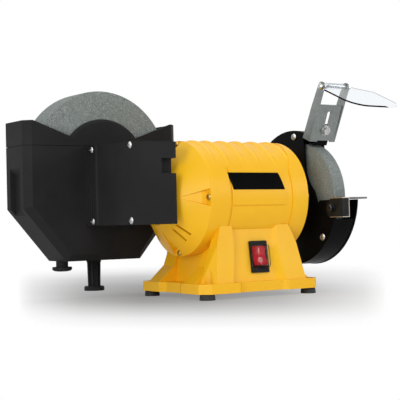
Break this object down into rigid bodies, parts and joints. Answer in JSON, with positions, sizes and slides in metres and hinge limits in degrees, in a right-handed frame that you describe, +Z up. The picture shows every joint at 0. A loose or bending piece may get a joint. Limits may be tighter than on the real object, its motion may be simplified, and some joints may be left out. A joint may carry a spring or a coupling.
{
  "type": "wet grinding sharpener",
  "caption": "Combined wet and dry bench grinder: a yellow motor drives a guarded fast dry wheel and, through a worm gear, a slow wide wheel in a water tank.",
  "frame": {"origin": "on the bench, in the middle of the four bench bolts, at the bottom of the rubber feet", "axes": "+X along the motor shaft towards the dry wheel, +Y to the back where the wet wheel stands, +Z up"},
  "size_m": [0.4275, 0.2919, 0.279],
  "materials": {
    "yellow_paint": "satin powder coat over an aluminium casting",
    "black_plastic": "fine moulded texture",
    "black_paint": "smooth semi-gloss black",
    "foot_rubber": "matt",
    "screw_steel": "bright zinc plate",
    "bright_steel": "turned",
    "dark_steel": "blackened",
    "sheet_steel": "brushed sheet, slightly scuffed",
    "core_iron": "stacked laminations",
    "winding_copper": "varnished copper wire",
    "capacitor_plastic": "plain",
    "rocker_red": "glossy",
    "clear_plastic": "clear",
    "gear_nylon": "moulded nylon",
    "wheel_grit": "coarse grey-green bonded grit"
  },
  "bodies": {
    "frame": {"motor_body": "yellow_paint", "end_bell_left": "yellow_paint", "end_bell_right": "yellow_paint", "end_bell_screws": "screw_steel", "base_cover": "black_plastic", "base_cover_screws": "screw_steel", "rubber_feet": "foot_rubber", "stator_core": "core_iron", "stator_windings": "winding_copper", "run_capacitor": "capacitor_plastic", "bearing_left": "bright_steel", "bearing_right": "bright_steel", "cable_gland": "black_plastic", "switch_bezel": "black_plastic", "switch_splash_cover": "clear_plastic", "gearbox_housing": "black_plastic", "gearbox_side_cover": "black_plastic", "gearbox_cover_screws": "screw_steel", "gearbox_mount_screws": "screw_steel", "spindle_bearing_front": "bright_steel", "spindle_bearing_rear": "bright_steel", "spindle_seal": "foot_rubber", "water_tank": "black_plastic", "tank_screws": "screw_steel", "splash_guard": "black_plastic", "tank_leg": "black_plastic", "wheel_guard": "black_paint", "guard_cover": "black_paint", "guard_screws": "screw_steel", "spark_deflector": "black_paint", "guard_mount_screws": "screw_steel", "rest_bolt": "dark_steel", "shield_clamp_bolt": "screw_steel"},
    "rotor": {"motor_shaft": "bright_steel", "rotor_core": "core_iron", "cooling_fan": "black_plastic", "worm": "bright_steel", "dry_flange_inner": "bright_steel", "dry_flange_outer": "bright_steel", "dry_wheel": "wheel_grit", "dry_nut": "bright_steel"},
    "wet_arbor": {"wet_spindle": "bright_steel", "worm_wheel": "gear_nylon", "wet_flange_inner": "bright_steel", "wet_flange_outer": "bright_steel", "wet_wheel": "wheel_grit", "wet_nut": "bright_steel"},
    "rocker": {"switch_rocker": "rocker_red"},
    "shield_mount": {"shield_bracket": "sheet_steel", "shield_hinge_bolt": "screw_steel"},
    "shield": {"eye_shield": "clear_plastic"},
    "rest": {"tool_rest": "sheet_steel"},
    "plug": {"drain_plug": "black_plastic"}
  },
  "joints": [
    {"name": "rotor_spin", "type": "hinge", "parent": "frame", "child": "rotor", "pos_m": [0, 0, 0.127], "axis": [1, 0, 0], "continuous": true},
    {"name": "wet_spin", "type": "hinge", "parent": "frame", "child": "wet_arbor", "pos_m": [-0.141, 0, 0.17125], "axis": [0, 1, 0], "continuous": true},
    {"name": "switch_rock", "type": "hinge", "parent": "frame", "child": "rocker", "pos_m": [0, -0.05558, 0.0493], "axis": [1, 0, 0], "range_deg": [0, 16]},
    {"name": "shield_slide", "type": "slide", "parent": "frame", "child": "shield_mount", "axis": [0, -0.3956, 0.9184], "range_m": [-0.006, 0.004]},
    {"name": "shield_tilt", "type": "hinge", "parent": "shield_mount", "child": "shield", "pos_m": [0.1303, -0.06842, 0.27283], "axis": [1, 0, 0], "range_deg": [-40, 35]},
    {"name": "rest_slide", "type": "slide", "parent": "frame", "child": "rest", "axis": [0, 1, 0], "range_m": [-0.005, 0.0015]},
    {"name": "plug_pull", "type": "slide", "parent": "frame", "child": "plug", "axis": [0, 0, -1], "range_m": [0, 0.025]}
  ],
  "couplings": [
    {"joint": "wet_spin", "follows": "rotor_spin", "ratio": 0.045455}
  ]
}
